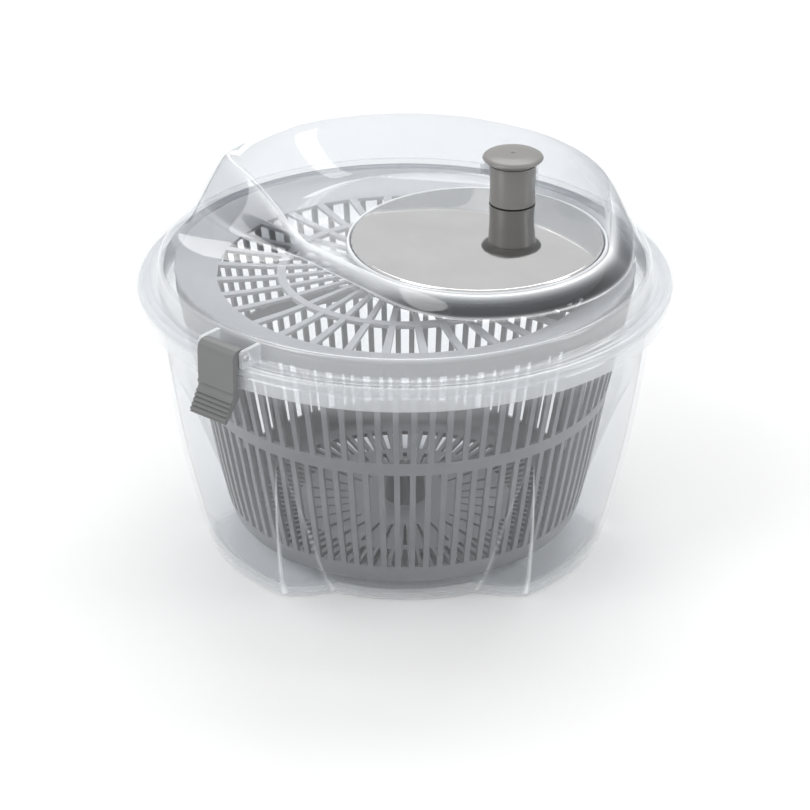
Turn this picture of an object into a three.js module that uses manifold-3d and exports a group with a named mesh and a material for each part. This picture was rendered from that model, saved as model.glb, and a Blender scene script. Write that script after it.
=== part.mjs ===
// A hand-cranked salad spinner: a clear bowl, a slotted basket with a grille cover that spins on a pivot in
// the bowl, and a clear lid with a crank disc that drives the basket through a pair of spur gears.
// Millimetres, +Z up, origin in the middle of the base, on the table. The front latch points to -X -Y.
import * as THREE from "three";
import { mergeVertices } from "three/addons/utils/BufferGeometryUtils.js";
import Module from "manifold-3d";

const wasm = await Module();
wasm.setup();

// ---------------------------------------------------------------- driving dimensions

const PARTING_Z = 143; // where the bowl's rim and the lid's rim meet
const HALF_GAP = 0.15; // half the gap between the two rims
const FLANGE_R = 140; // outer radius of both rims

// Bowl wall, outside: height, radius on the full sectors, radius in the dents.
const BOWL_WALL = [
  { z: 3, full: 106.9, dent: 90 },
  { z: 14, full: 110.5, dent: 97 },
  { z: 24, full: 112.8, dent: 101.2 },
  { z: 45, full: 117.6, dent: 108.3 },
  { z: 88, full: 125, dent: 125 },
];
const BOWL_T = 2.5;
const BOWL_FLOOR_T = 3.2;
const BOWL_NECK_R = 130.2; // outside of the wall under the rim
const BOWL_MOUTH_R = 127.9; // inside of the rim
const BOWL_SKIRT = 7.7; // height of the rim's hanging skirt
const FOOT_RECESS = { r: 76, h: 1.5 }; // the middle of the base stands clear of the table
const DENT_COUNT = 3;
const DENT_FIRST_DEG = -90; // the first dent faces the front
const DENT_FLAT_DEG = 25;
const DENT_END_DEG = 37;
const BOWL_SIDES = 60;

const BASKET_SIDES = 30;
const BASKET_SLOTS = 60;
const BASKET_T = 2.1;
const BASKET_FLOOR_Z = 10;
const UPPER_TIER = { z0: 90, z1: 144, r0: 108.5, r1: 119, bar: 4.4 };
const LOWER_TIER = { z0: 23.5, z1: 83, r0: 95.3, r1: 107, bar: 4.2 };
const BASKET_RIM = { r: 120, inner: 116.4, z: 150.6 };
const FLOOR_SLOTS = 10;

const COVER_SPOKES = 32;
const COVER_RING = { inner: 98, innerZ: 147, outer: 120, z0: 151, z1: 154.35 }; // slopes up outwards
const COVER_LIP = { inner: 113.4, outer: 115.8, z: 148 }; // hangs into the basket's mouth
const COVER_MID = { inner: 62.6, outer: 66.6, z: 147.4 };
const COVER_HUB = { r: 24, socketR: 13.5, z: 149.5 };
const COVER_LUGS = 4;
const COVER_TURN = 5.625; // degrees: half a step between two bars
const COVER_T = 2;

const CRANK_X = 37.5; // the crank axis stands beside the spinner's axis
const MODULE = 1.5; // gear module: pitch diameter over teeth
const CRANK_TEETH = 36;
const PINION_TEETH = 14; // their pitch radii, 27 and 10.5, add up to CRANK_X
const GEAR_Z = [154.1, 158.4];

const LID_SIDES = 40;
const LID_T = 2;
const RECESS_Z = 162; // top of the recess floor
const DISC_R = 65.5;
const DISC_TOP_Z = 166;
const DISC_T = 2.5;
const LIP_R = 67.8; // outer radius of the lip round the disc
const RIDGE_R = 69.5; // ridge round the front of the disc
const RIDGE_Z = 165.6;
const RIDGE_NORMAL_DEG = -138.1; // the ridge's straight stretch faces this way
const CREST_R = 107; // the dome's crest, round the spinner's axis
const CREST_Z = 194;
const DOME_FOOT_R = 122;
const DOME_FOOT_Z = 167;
const DECK_Z = 157.3; // top of the low deck in front
const HOLLOW = { x: 13, y: 24, r: 71 }; // back edge of the recess floor

const KNOB_X = 57;
const KNOB_Y = 46.5;
const KNOB_R = 12.5;
const KNOB_CAP_R = 16.2;

const LATCH_DEGS = { front: 230, back: 64.5 };
const LATCH_W = 23.6;
const LATCH_AXIS = { r: 138, z: 152.5 };
const EAR_T = 2.2;

const ROUND = 16; // sides of a small round piece
const FINE = 10; // sides of a screw, a pin or a small hole

// ---------------------------------------------------------------- materials

const material = (color, roughness, opacity = 1, metalness = 0) =>
  new THREE.MeshStandardMaterial({
    color,
    roughness,
    metalness,
    opacity,
    transparent: opacity < 1,
  });
const CLEAR = material(0xe4e8ec, 0.08, 0.35);
const BASKET_GREY = material(0x8c8c8f, 0.45);
const COVER_GREY = material(0xa5a5a8, 0.4);
const DISC_GREY = material(0xbebebe, 0.15);
const KNOB_GREY = material(0x807e7d, 0.35);
const LATCH_GREY = material(0x70706e, 0.5);
const NYLON = material(0xe8e6df, 0.5);
const BOX_GREY = material(0x9a9a9c, 0.5);
const STEEL = material(0xb8b8ba, 0.3, 1, 1);

// ---------------------------------------------------------------- helpers

const radians = THREE.MathUtils.degToRad;
const lerp = THREE.MathUtils.lerp;
const smoothstep = THREE.MathUtils.smoothstep;

// A closed three.js geometry as a solid with its faces pointing out.
function solidOf(geometry) {
  const bare = geometry.clone();
  bare.deleteAttribute("normal");
  bare.deleteAttribute("uv");
  const merged = mergeVertices(bare, 1e-4);
  const vertProperties = new Float32Array(merged.attributes.position.array);
  const triVerts = new Uint32Array(merged.index.array);
  const solid = new wasm.Manifold(new wasm.Mesh({ numProp: 3, vertProperties, triVerts }));
  if (solid.volume() > 0) return solid;
  triVerts.reverse();
  return new wasm.Manifold(new wasm.Mesh({ numProp: 3, vertProperties, triVerts }));
}

function geometryOf(solid) {
  const { vertProperties, triVerts } = solid.getMesh();
  const geometry = new THREE.BufferGeometry();
  geometry.setAttribute("position", new THREE.BufferAttribute(new Float32Array(vertProperties), 3));
  geometry.setIndex(new THREE.BufferAttribute(new Uint32Array(triVerts), 1));
  geometry.computeVertexNormals();
  return geometry;
}

const union = (solids) => solids.reduce((whole, solid) => whole.add(solid));

// A solid of revolution round Z from [radius, height] points that start and end on the axis.
function turned(points, sides = ROUND) {
  const profile = points.map(([r, z]) => new THREE.Vector2(r, z));
  return solidOf(new THREE.LatheGeometry(profile, sides).rotateX(Math.PI / 2));
}

// The same from points that go once round a closed section clear of the axis.
const turnedRing = (points, sides = ROUND) => turned([...points, points[0]], sides);

const cylinder = (r, z0, z1, sides = ROUND) => turned([[0, z0], [r, z0], [r, z1], [0, z1]], sides);

function prism(shape, z0, z1) {
  const options = { depth: z1 - z0, bevelEnabled: false, curveSegments: 8 };
  return solidOf(new THREE.ExtrudeGeometry(shape, options).translate(0, 0, z0));
}

function polygonShape(points) {
  return new THREE.Shape(points.map(([x, y]) => new THREE.Vector2(x, y)));
}

// A straight bar along +X between two stations, each with its own height and width; z is the top face.
function bar(from, to, height) {
  const geometry = new THREE.BoxGeometry(2, 2, 2);
  const spots = geometry.attributes.position;
  for (let i = 0; i < spots.count; i++) {
    const end = spots.getX(i) < 0 ? from : to;
    const z = spots.getZ(i) < 0 ? end.z - height : end.z;
    spots.setXYZ(i, end.x, (spots.getY(i) * end.w) / 2, z);
  }
  return solidOf(geometry);
}

const spin = (solid, degrees) => solid.rotate([0, 0, degrees]);
const move = (solid, x, y) => solid.translate([x, y, 0]);

// Copies of one solid at equal angles round Z.
function around(solid, count, firstDegrees = 0) {
  const copies = [];
  for (let i = 0; i < count; i++) copies.push(spin(solid, firstDegrees + (360 * i) / count));
  return copies;
}

// A closed skin over loops of points; a loop of one point is an apex.
function skin(loops, joinsItself) {
  const positions = [];
  const firsts = [];
  const sides = Math.max(...loops.map((loop) => loop.length));
  for (const loop of loops) {
    firsts.push(positions.length / 3);
    for (const point of loop) positions.push(point.x, point.y, point.z);
  }
  const corner = (k, i) => firsts[k] + (loops[k].length === 1 ? 0 : i % sides);
  const index = [];
  const addTriangle = (a, b, c) => {
    if (a !== b && b !== c && c !== a) index.push(a, b, c);
  };
  const strips = joinsItself ? loops.length : loops.length - 1;
  for (let k = 0; k < strips; k++) {
    const next = (k + 1) % loops.length;
    for (let i = 0; i < sides; i++) {
      addTriangle(corner(k, i), corner(k, i + 1), corner(next, i + 1));
      addTriangle(corner(k, i), corner(next, i + 1), corner(next, i));
    }
  }
  const geometry = new THREE.BufferGeometry();
  geometry.setAttribute("position", new THREE.Float32BufferAttribute(positions, 3));
  geometry.setIndex(index);
  return solidOf(geometry);
}

// One loop of points: reach and height are functions of the angle round an upright axis on the X axis.
function loopRound(poleX, sides, reach, height) {
  const loop = [];
  for (let i = 0; i < sides; i++) {
    const angle = (2 * Math.PI * i) / sides;
    const r = reach(angle);
    loop.push(new THREE.Vector3(poleX + r * Math.cos(angle), r * Math.sin(angle), height(angle)));
  }
  return loop;
}

const spinner = new THREE.Group();

function piece(name, solid, finish, parent = spinner) {
  const mesh = new THREE.Mesh(geometryOf(solid), finish);
  mesh.name = name;
  parent.add(mesh);
  return mesh;
}

// ---------------------------------------------------------------- bowl

// 1 in the middle of a dent, 0 on the full sectors.
function dentAt(angle) {
  const pitch = 360 / DENT_COUNT;
  const fromFirst = THREE.MathUtils.radToDeg(angle) - DENT_FIRST_DEG;
  const offset = Math.abs(THREE.MathUtils.euclideanModulo(fromFirst + pitch / 2, pitch) - pitch / 2);
  return 1 - smoothstep(offset, DENT_FLAT_DEG, DENT_END_DEG);
}

function outerBowl() {
  const dented = (full, dent, z) => {
    const reach = (angle) => lerp(full, dent, dentAt(angle));
    return loopRound(0, BOWL_SIDES, reach, () => z);
  };
  const round = (r, z) => dented(r, r, z);
  const top = PARTING_Z - HALF_GAP;
  const [foot] = BOWL_WALL;
  const loops = [
    [new THREE.Vector3(0, 0, FOOT_RECESS.h)],
    round(FOOT_RECESS.r, FOOT_RECESS.h),
    round(FOOT_RECESS.r + 2, 0),
    dented(foot.full - 3, foot.dent - 3, 0),
    ...BOWL_WALL.map((station) => dented(station.full, station.dent, station.z)),
    round(BOWL_NECK_R, top - 4),
    round(FLANGE_R - 2.7, top - 4),
    round(FLANGE_R - 2.5, top - BOWL_SKIRT),
    round(FLANGE_R - 0.5, top - BOWL_SKIRT),
    round(FLANGE_R - 0.3, top),
    round(BOWL_MOUTH_R, top),
    ...BOWL_WALL.slice(1)
      .reverse()
      .map((station) => dented(station.full - BOWL_T, station.dent - BOWL_T, station.z)),
    dented(foot.full - 4.5, foot.dent - 4.5, BOWL_FLOOR_T + 1.5),
    dented(foot.full - 8, foot.dent - 8, BOWL_FLOOR_T),
    [new THREE.Vector3(0, 0, BOWL_FLOOR_T)],
  ];
  const boss = cylinder(9, BOWL_FLOOR_T - 1, 7);
  const pinHole = cylinder(3.3, BOWL_FLOOR_T, 8);
  return skin(loops, false).add(boss).subtract(pinHole);
}

const bowl = new THREE.Group();
spinner.add(bowl);
piece("outer_bowl", outerBowl(), CLEAR, bowl);
const PIVOT_TOP_Z = 26;
const pivotProfile = [
  [0, BOWL_FLOOR_T + 0.3],
  [3, BOWL_FLOOR_T + 0.3],
  [3, 7.3],
  [7.5, 7.3],
  [7.5, 9],
  [5, 9],
  [5, PIVOT_TOP_Z - 2],
  [3, PIVOT_TOP_Z - 0.4],
  [0, PIVOT_TOP_Z],
];
piece("bowl_pivot", turned(pivotProfile), STEEL, bowl);

// ---------------------------------------------------------------- basket and its cover

const BEARING_TOP_Z = PIVOT_TOP_Z + 2.5;
const bearingProfile = [
  [0, PIVOT_TOP_Z + 0.3],
  [5.3, PIVOT_TOP_Z + 0.3],
  [5.3, 9.4],
  [8, 9.4],
  [8, BEARING_TOP_Z],
  [0, BEARING_TOP_Z],
];
const basketGroup = new THREE.Group();
spinner.add(basketGroup);
piece("basket_bearing", turned(bearingProfile), NYLON, basketGroup);

// One row of upright slots, each a little wider at the top than at the bottom.
function slotTier(tier, count) {
  const widthAt = (r) => (2 * Math.PI * r) / count - tier.bar;
  const slot = new THREE.BoxGeometry(2, 2, 2);
  const spots = slot.attributes.position;
  for (let i = 0; i < spots.count; i++) {
    const upper = spots.getZ(i) > 0;
    const width = widthAt(upper ? tier.r1 : tier.r0);
    const x = spots.getX(i) < 0 ? tier.r0 - 12 : tier.r1 + 6;
    spots.setXYZ(i, x, (spots.getY(i) * width) / 2, upper ? tier.z1 : tier.z0);
  }
  return around(solidOf(slot), count, 180 / count);
}

function basket() {
  const inside = (r) => r - BASKET_T;
  const bossTop = BEARING_TOP_Z + 0.3;
  const floorTop = BASKET_FLOOR_Z + 2.4;
  const profile = [
    [0, bossTop],
    [8.3, bossTop],
    [8.3, BASKET_FLOOR_Z],
    [84, BASKET_FLOOR_Z],
    [92, 14],
    [LOWER_TIER.r0, LOWER_TIER.z0],
    [LOWER_TIER.r1, LOWER_TIER.z1],
    [UPPER_TIER.r0, UPPER_TIER.z0],
    [UPPER_TIER.r1, UPPER_TIER.z1],
    [BASKET_RIM.r, UPPER_TIER.z1 + 1],
    [BASKET_RIM.r, BASKET_RIM.z],
    [BASKET_RIM.inner, BASKET_RIM.z],
    [inside(UPPER_TIER.r1), UPPER_TIER.z1],
    [inside(UPPER_TIER.r0), UPPER_TIER.z0],
    [inside(LOWER_TIER.r1), LOWER_TIER.z1],
    [inside(LOWER_TIER.r0), LOWER_TIER.z0],
    [90, 15.8],
    [83.5, floorTop],
    [11, floorTop],
    [10.4, bossTop + 2],
    [0, bossTop + 2],
  ];
  const floorSlot = bar({ x: 24, z: 20, w: 3 }, { x: 76, z: 20, w: 8 }, 15);
  const lugNotch = bar({ x: 112, z: 153, w: 7 }, { x: 124, z: 153, w: 7 }, 5);
  const cutters = [
    ...slotTier(UPPER_TIER, BASKET_SLOTS),
    ...slotTier(LOWER_TIER, BASKET_SLOTS),
    ...around(floorSlot, FLOOR_SLOTS),
    ...around(lugNotch, COVER_LUGS, COVER_TURN),
  ];
  return cutters.reduce((left, cutter) => left.subtract(cutter), turned(profile, BASKET_SIDES));
}
piece("basket", basket(), BASKET_GREY, basketGroup);

const DOG_R = 10; // the driver's hexagon, corner to centre
const DOG_Z = [144.6, 150];

function hexagon(r) {
  const points = [];
  for (let i = 0; i < 6; i++) points.push([r * Math.cos((i * Math.PI) / 3), r * Math.sin((i * Math.PI) / 3)]);
  return polygonShape(points);
}

function basketCover() {
  const { inner, innerZ, outer, z0, z1 } = COVER_RING;
  const slopingRing = [
    [inner, innerZ - COVER_T],
    [COVER_LIP.inner, z0 - 0.8],
    [COVER_LIP.inner + 0.6, COVER_LIP.z],
    [COVER_LIP.outer, COVER_LIP.z],
    [COVER_LIP.outer, z0],
    [outer, z0],
    [outer, z1 - 1],
    [outer - 1.2, z1],
    [inner, innerZ],
  ];
  const midRing = [
    [COVER_MID.inner, COVER_MID.z - COVER_T],
    [COVER_MID.outer, COVER_MID.z - COVER_T],
    [COVER_MID.outer, COVER_MID.z],
    [COVER_MID.inner, COVER_MID.z],
  ];
  const socketLow = DOG_Z[0] - 0.8;
  const hub = [
    [0, socketLow],
    [COVER_HUB.socketR, socketLow],
    [COVER_HUB.socketR, COVER_HUB.z - COVER_T],
    [COVER_HUB.r, COVER_HUB.z - COVER_T],
    [COVER_HUB.r, COVER_HUB.z],
    [0, COVER_HUB.z],
  ];
  const outerBar = bar(
    { x: COVER_MID.outer - 1, z: COVER_MID.z - 0.1, w: 3.2 },
    { x: inner + 1, z: innerZ, w: 4.4 },
    COVER_T - 0.1,
  );
  const innerBar = bar(
    { x: COVER_HUB.r - 1, z: COVER_HUB.z - 0.1, w: 2.2 },
    { x: COVER_MID.inner + 1, z: COVER_MID.z - 0.1, w: 3.2 },
    COVER_T - 0.2,
  );
  const lug = bar({ x: 115, z: 152, w: 6 }, { x: 119.4, z: 152, w: 6 }, 3);
  const parts = [
    turnedRing(midRing, BASKET_SIDES),
    turned(hub, BASKET_SIDES),
    ...around(outerBar, COVER_SPOKES, COVER_TURN),
    ...around(innerBar, COVER_SPOKES, COVER_TURN),
    ...around(lug, COVER_LUGS, COVER_TURN),
  ];
  const whole = turnedRing(slopingRing, BASKET_SIDES).add(union(parts));
  return whole.subtract(prism(hexagon(DOG_R + 0.5), socketLow - 1, COVER_HUB.z + 1));
}
piece("basket_cover", basketCover(), COVER_GREY, basketGroup);

// ---------------------------------------------------------------- lid

// How far from the crank axis, at an angle, a circle lies.
function reachOfCircle(angle, centreX, centreY, r) {
  const fromX = CRANK_X - centreX;
  const along = fromX * Math.cos(angle) - centreY * Math.sin(angle);
  return -along + Math.sqrt(along * along - fromX * fromX - centreY * centreY + r * r);
}

// An angle in degrees that grows without a break from the front of the disc round over the back.
function lidDegrees(angle) {
  return THREE.MathUtils.euclideanModulo(THREE.MathUtils.radToDeg(angle) + 100, 360) - 100;
}

// 1 where the lid rises to the dome, 0 where it is low.
function domeAt(angle) {
  const degrees = lidDegrees(angle);
  return smoothstep(degrees, -15, 21) * (1 - smoothstep(degrees, 158, 186));
}

function smoothMin(a, b, blend) {
  const h = THREE.MathUtils.clamp(0.5 + (b - a) / (2 * blend), 0, 1);
  return lerp(b, a, h) - blend * h * (1 - h);
}

// Plan of the crest: an arc round the front of the disc, a straight stretch to the back left, then the dome.
function crestReach(angle) {
  const degrees = lidDegrees(angle);
  const straightFrom = RIDGE_NORMAL_DEG + 360;
  const circle = reachOfCircle(angle, 0, 0, CREST_R);
  if (degrees <= 0 || degrees >= straightFrom) return RIDGE_R;
  const fromNormal = Math.cos(radians(degrees - straightFrom));
  if (fromNormal < 0.05) return circle;
  return smoothMin(RIDGE_R / fromNormal, circle, 10);
}

// Plan of the ridge's outer foot, which is also where the dome's outer wall begins.
function footReach(angle) {
  const degrees = lidDegrees(angle);
  const shelf = degrees < 90 ? 13 : 4.5 + 8.5 * smoothstep(degrees, 220, 265);
  const dome = reachOfCircle(angle, 0, 0, DOME_FOOT_R);
  return lerp(crestReach(angle) + shelf, dome, domeAt(angle));
}

function hollowReach(angle) {
  const back = reachOfCircle(angle, HOLLOW.x, HOLLOW.y, HOLLOW.r);
  return Math.min(Math.max(back, LIP_R + 0.4), crestReach(angle) - 1.3);
}

const crestHeight = (angle) => lerp(RIDGE_Z, CREST_Z, domeAt(angle));
const footHeight = (angle) => lerp(DECK_Z, DOME_FOOT_Z, domeAt(angle));

// Between the recess floor and the crest, and between the crest and the outer foot; step runs from 0 to 1.
function innerWall(step) {
  const reach = (angle) => lerp(hollowReach(angle), crestReach(angle), step);
  const height = (angle) => lerp(RECESS_Z, crestHeight(angle), smoothstep(step, 0, 1));
  return loopRound(CRANK_X, LID_SIDES, reach, height);
}

function outerWall(step) {
  const reach = (angle) => lerp(footReach(angle), crestReach(angle), step);
  const rise = (angle) => lerp(smoothstep(step, 0, 1), 1 - (1 - step) ** 1.35, domeAt(angle));
  const height = (angle) => lerp(footHeight(angle), crestHeight(angle), rise(angle));
  return loopRound(CRANK_X, LID_SIDES, reach, height);
}

// The underside of a run of loops: each point drops by the wall's thickness, more where the wall is steep.
function underside(loops) {
  const deepest = 9;
  return loops.slice(1, -1).map((loop, k) =>
    loop.map((point, i) => {
      const before = loops[k][i];
      const after = loops[k + 2][i];
      const run = Math.hypot(after.x - before.x, after.y - before.y);
      const slope = (after.z - before.z) / run;
      const drop = Math.min(LID_T * Math.hypot(1, slope), deepest);
      return new THREE.Vector3(point.x, point.y, point.z - drop);
    }),
  );
}

const LATCH_HOLE_R = 1.9;

// The two ears that hold one latch's pin; X points outwards there.
function latchEars(degrees) {
  const outline = polygonShape([[128.3, 146.5], [140.6, 146.5], [141, 155], [139.5, 156.5], [127.6, 156.5]]);
  const pinHole = move(cylinder(LATCH_HOLE_R, -1, EAR_T + 1, FINE), LATCH_AXIS.r, LATCH_AXIS.z);
  const plate = prism(outline, 0, EAR_T).subtract(pinHole).rotate([90, 0, 0]);
  const near = plate.translate([0, -(LATCH_W / 2 + 0.6), 0]);
  const far = plate.translate([0, LATCH_W / 2 + 0.6 + EAR_T, 0]);
  return [spin(near, degrees), spin(far, degrees)];
}

const SCREW_DEGS = [50, 125, -50, -125];
const SCREW_RING_R = 57;
const screwSpots = SCREW_DEGS.map((degrees) => [
  CRANK_X + SCREW_RING_R * Math.cos(radians(degrees)),
  SCREW_RING_R * Math.sin(radians(degrees)),
]);
const SPINDLE_HOLE_R = 7;

function lidShell() {
  const round = (r, z) => loopRound(CRANK_X, LID_SIDES, (angle) => reachOfCircle(angle, 0, 0, r), () => z);
  const crankRound = (r, z) => loopRound(CRANK_X, LID_SIDES, () => r, () => z);
  const floorEdge = innerWall(0);
  const walls = [...[0.35, 0.7, 1].map(innerWall), ...[0.67, 0.33, 0].map(outerWall)];
  const deckEdge = round(126.6, DECK_Z + 0.5);
  const bottom = PARTING_Z + HALF_GAP;
  const floorBelow = RECESS_Z - LID_T;
  const lidTop = [
    crankRound(SPINDLE_HOLE_R, RECESS_Z),
    crankRound(LIP_R - 1.6, RECESS_Z),
    crankRound(LIP_R - 1.4, RECESS_Z + 2.8),
    crankRound(LIP_R - 0.3, RECESS_Z + 2.8),
    crankRound(LIP_R, RECESS_Z),
    floorEdge,
    ...walls,
    deckEdge,
    round(128.2, DECK_Z - 0.6),
    round(129, PARTING_Z + 5.2),
    round(FLANGE_R - 1.5, PARTING_Z + 4.8),
    round(FLANGE_R + 0.5, PARTING_Z + 3),
    round(FLANGE_R + 0.3, bottom),
  ];
  const below = underside([floorEdge, ...walls, deckEdge]).reverse();
  const lidBottom = [
    round(FLANGE_R - 1.7, bottom),
    round(FLANGE_R - 1.9, PARTING_Z + 2.7),
    round(BOWL_MOUTH_R - 0.6, PARTING_Z + 2.7),
    round(BOWL_MOUTH_R - 0.6, PARTING_Z - 3.5),
    round(BOWL_MOUTH_R - 2.6, PARTING_Z - 3.5),
    round(BOWL_MOUTH_R - 2.6, DECK_Z - 2),
    ...below,
    crankRound(LIP_R, floorBelow),
    crankRound(SPINDLE_HOLE_R, floorBelow),
  ];
  const bosses = screwSpots.map(([x, y]) => move(cylinder(4, RECESS_Z - 0.5, RECESS_Z + 1.2, FINE), x, y));
  const holes = screwSpots.map(([x, y]) => move(cylinder(1.4, RECESS_Z - 4, RECESS_Z + 0.2, FINE), x, y));
  const ears = [...latchEars(LATCH_DEGS.front), ...latchEars(LATCH_DEGS.back)];
  return skin([...lidTop, ...lidBottom], true).add(union([...bosses, ...ears])).subtract(union(holes));
}

const lid = new THREE.Group();
spinner.add(lid);
piece("lid_shell", lidShell(), CLEAR, lid);

// ---------------------------------------------------------------- gear box under the lid's recess

const BOX_R = 67; // the box is a round drum under the crank disc
const BOX_WALL = 2;
const BOX_TOP_Z = RECESS_Z - LID_T - 0.3;
const BOX_TOP_T = 0.9;
const PLATE_Z = [150.2, 152];
const THROUGH_BOX_Z = [140, 170]; // a cutter of these heights goes right through the gear box

function screwPosts(r, z0, z1) {
  return screwSpots.map(([x, y]) => move(cylinder(r, z0, z1, FINE), x, y));
}

const crankCylinder = (r, z0, z1) => move(cylinder(r, z0, z1, BASKET_SIDES), CRANK_X, 0);

function gearBox() {
  const bottom = PLATE_Z[1] + 0.3;
  const drum = crankCylinder(BOX_R, bottom, BOX_TOP_Z);
  const inside = crankCylinder(BOX_R - BOX_WALL, bottom - 1, BOX_TOP_Z - BOX_TOP_T);
  const spindleHole = move(cylinder(SPINDLE_HOLE_R, ...THROUGH_BOX_Z), CRANK_X, 0);
  const pinionHole = cylinder(2.8, ...THROUGH_BOX_Z);
  return drum
    .subtract(inside)
    .add(union(screwPosts(4.2, bottom, BOX_TOP_Z - BOX_TOP_T / 2)))
    .subtract(union([spindleHole, pinionHole, ...screwPosts(1.4, ...THROUGH_BOX_Z)]));
}

const BUSH_R = 6.4;

function gearCoverPlate() {
  const [low, high] = PLATE_Z;
  const outline = [[0, low], [BOX_R - 1, low], [BOX_R, low + 1], [BOX_R, high], [0, high]];
  const plate = turned(outline, BASKET_SIDES);
  const counterbores = screwPosts(2.8, low - 1, low + 1.2);
  const holes = [cylinder(BUSH_R + 0.2, ...THROUGH_BOX_Z), ...screwPosts(1.4, ...THROUGH_BOX_Z)];
  return move(plate, CRANK_X, 0).subtract(union([...holes, ...counterbores]));
}

// A pan-head screw that points up, with the bottom of its head at z.
function screw(headR, headH, shankR, z, tip) {
  const head = [[0, z], [headR, z], [headR, z + headH]];
  return turned([...head, [shankR, z + headH], [shankR, tip - 1], [0, tip]], FINE);
}

piece("gear_box", gearBox(), BOX_GREY, lid);
piece("gear_cover_plate", gearCoverPlate(), BOX_GREY, lid);
screwSpots.forEach(([x, y], i) => {
  const mesh = piece(`cover_screw_${i + 1}`, screw(2.5, 0.8, 1.1, PLATE_Z[0] + 0.2, 161.9), STEEL, lid);
  mesh.position.set(x, y, 0);
});

// A flanged bush from low to high, with the flange from flangeZ up.
function bush(bore, r, flangeR, low, flangeZ, high) {
  return turnedRing([[bore, low], [r, low], [r, flangeZ], [flangeR, flangeZ], [flangeR, high], [bore, high]]);
}

piece("spindle_bushing", bush(4.25, 6.7, 9, 158.9, 162.3, 163.1), NYLON, lid).position.set(CRANK_X, 0, 0);
piece("pinion_bushing", bush(4.7, BUSH_R, 8.5, PLATE_Z[0], 152.3, 153.6), NYLON, lid);

// A spur gear's outline: one flat-sided tooth after another, the first centred on firstDegrees.
function gearShape(teeth, firstDegrees) {
  const pitchR = (MODULE * teeth) / 2;
  const rootR = pitchR - 1.25 * MODULE;
  const tipR = pitchR + MODULE;
  const pitch = (2 * Math.PI) / teeth;
  const rootHalf = pitch * 0.29;
  const tipHalf = pitch * 0.11;
  const points = [];
  for (let i = 0; i < teeth; i++) {
    const middle = radians(firstDegrees) + i * pitch;
    for (const [r, offset] of [[rootR, -rootHalf], [tipR, -tipHalf], [tipR, tipHalf], [rootR, rootHalf]]) {
      points.push([r * Math.cos(middle + offset), r * Math.sin(middle + offset)]);
    }
  }
  return polygonShape(points);
}

// A round with one flat, for a shaft or its bore.
function dShape(r, flat, target) {
  const half = Math.acos(flat / r);
  return target.absarc(0, 0, r, half, 2 * Math.PI - half, false);
}

// ---------------------------------------------------------------- crank

const crank = new THREE.Group();
crank.position.set(CRANK_X, 0, 0);
lid.add(crank);
const DISC_BOTTOM_Z = DISC_TOP_Z - DISC_T;
const knobAt = [KNOB_X - CRANK_X, KNOB_Y];
const discProfile = [
  [0, DISC_BOTTOM_Z],
  [DISC_R - 0.8, DISC_BOTTOM_Z],
  [DISC_R, DISC_BOTTOM_Z + 0.6],
  [DISC_R, DISC_TOP_Z - 0.7],
  [DISC_R - 1, DISC_TOP_Z],
  [0, DISC_TOP_Z],
];
const spindleSocket = cylinder(4.2, DISC_BOTTOM_Z - 1, DISC_TOP_Z - 0.8);
const axleSocket = move(cylinder(3.9, DISC_BOTTOM_Z + 0.5, DISC_TOP_Z + 1), ...knobAt);
piece("crank_disc", turned(discProfile, 40).subtract(spindleSocket).subtract(axleSocket), DISC_GREY, crank);

const SPINDLE_Z = [153.9, DISC_TOP_Z - 1.1];
const spindleRound = cylinder(4, 158.7, SPINDLE_Z[1]);
const spindleFlat = prism(dShape(4, 2.9, new THREE.Shape()), SPINDLE_Z[0], 158.7);
const spindleBore = cylinder(1.6, SPINDLE_Z[0] - 1, 161, FINE);
piece("crank_spindle", spindleRound.add(spindleFlat).subtract(spindleBore), STEEL, crank);

const crankGearShape = gearShape(CRANK_TEETH, 180);
crankGearShape.holes.push(dShape(4.25, 3.15, new THREE.Path()));
piece("crank_gear", prism(crankGearShape, ...GEAR_Z), NYLON, crank);
piece("spindle_washer", turnedRing([[1.8, 153.2], [6.5, 153.2], [6.5, 153.6], [1.8, 153.6]]), STEEL, crank);
piece("spindle_screw", screw(3.4, 0.7, 1.3, 152.3, 160.5), STEEL, crank);

const AXLE_HEAD_Z = 186.6;
const axleProfile = [
  [0, DISC_BOTTOM_Z + 0.8],
  [3.6, DISC_BOTTOM_Z + 0.8],
  [3.6, AXLE_HEAD_Z],
  [5.2, AXLE_HEAD_Z],
  [5.2, AXLE_HEAD_Z + 1.4],
  [0, AXLE_HEAD_Z + 1.4],
];
piece("knob_axle", turned(axleProfile), STEEL, crank).position.set(...knobAt, 0);

const sleeveProfile = [
  [4, DISC_TOP_Z + 0.4],
  [KNOB_R, DISC_TOP_Z + 0.4],
  [KNOB_R - 0.3, DISC_TOP_Z + 10],
  [KNOB_R + 0.1, 188.2],
  [6, 188.2],
  [6, AXLE_HEAD_Z - 0.3],
  [4, AXLE_HEAD_Z - 0.3],
];
piece("knob_sleeve", turnedRing(sleeveProfile), KNOB_GREY, crank).position.set(...knobAt, 0);
const capProfile = [
  [0, 188.5],
  [KNOB_R + 0.2, 188.5],
  [KNOB_R + 1, 189.8],
  [KNOB_CAP_R - 0.7, 190.8],
  [KNOB_CAP_R, 191.8],
  [KNOB_CAP_R - 0.5, 193],
  [KNOB_CAP_R - 4, 194.1],
  [1.2, 194.4],
  [0.8, 193.6],
  [0, 193.6],
];
piece("knob_cap", turned(capProfile), KNOB_GREY, crank).position.set(...knobAt, 0);

// ---------------------------------------------------------------- pinion and driver

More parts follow.
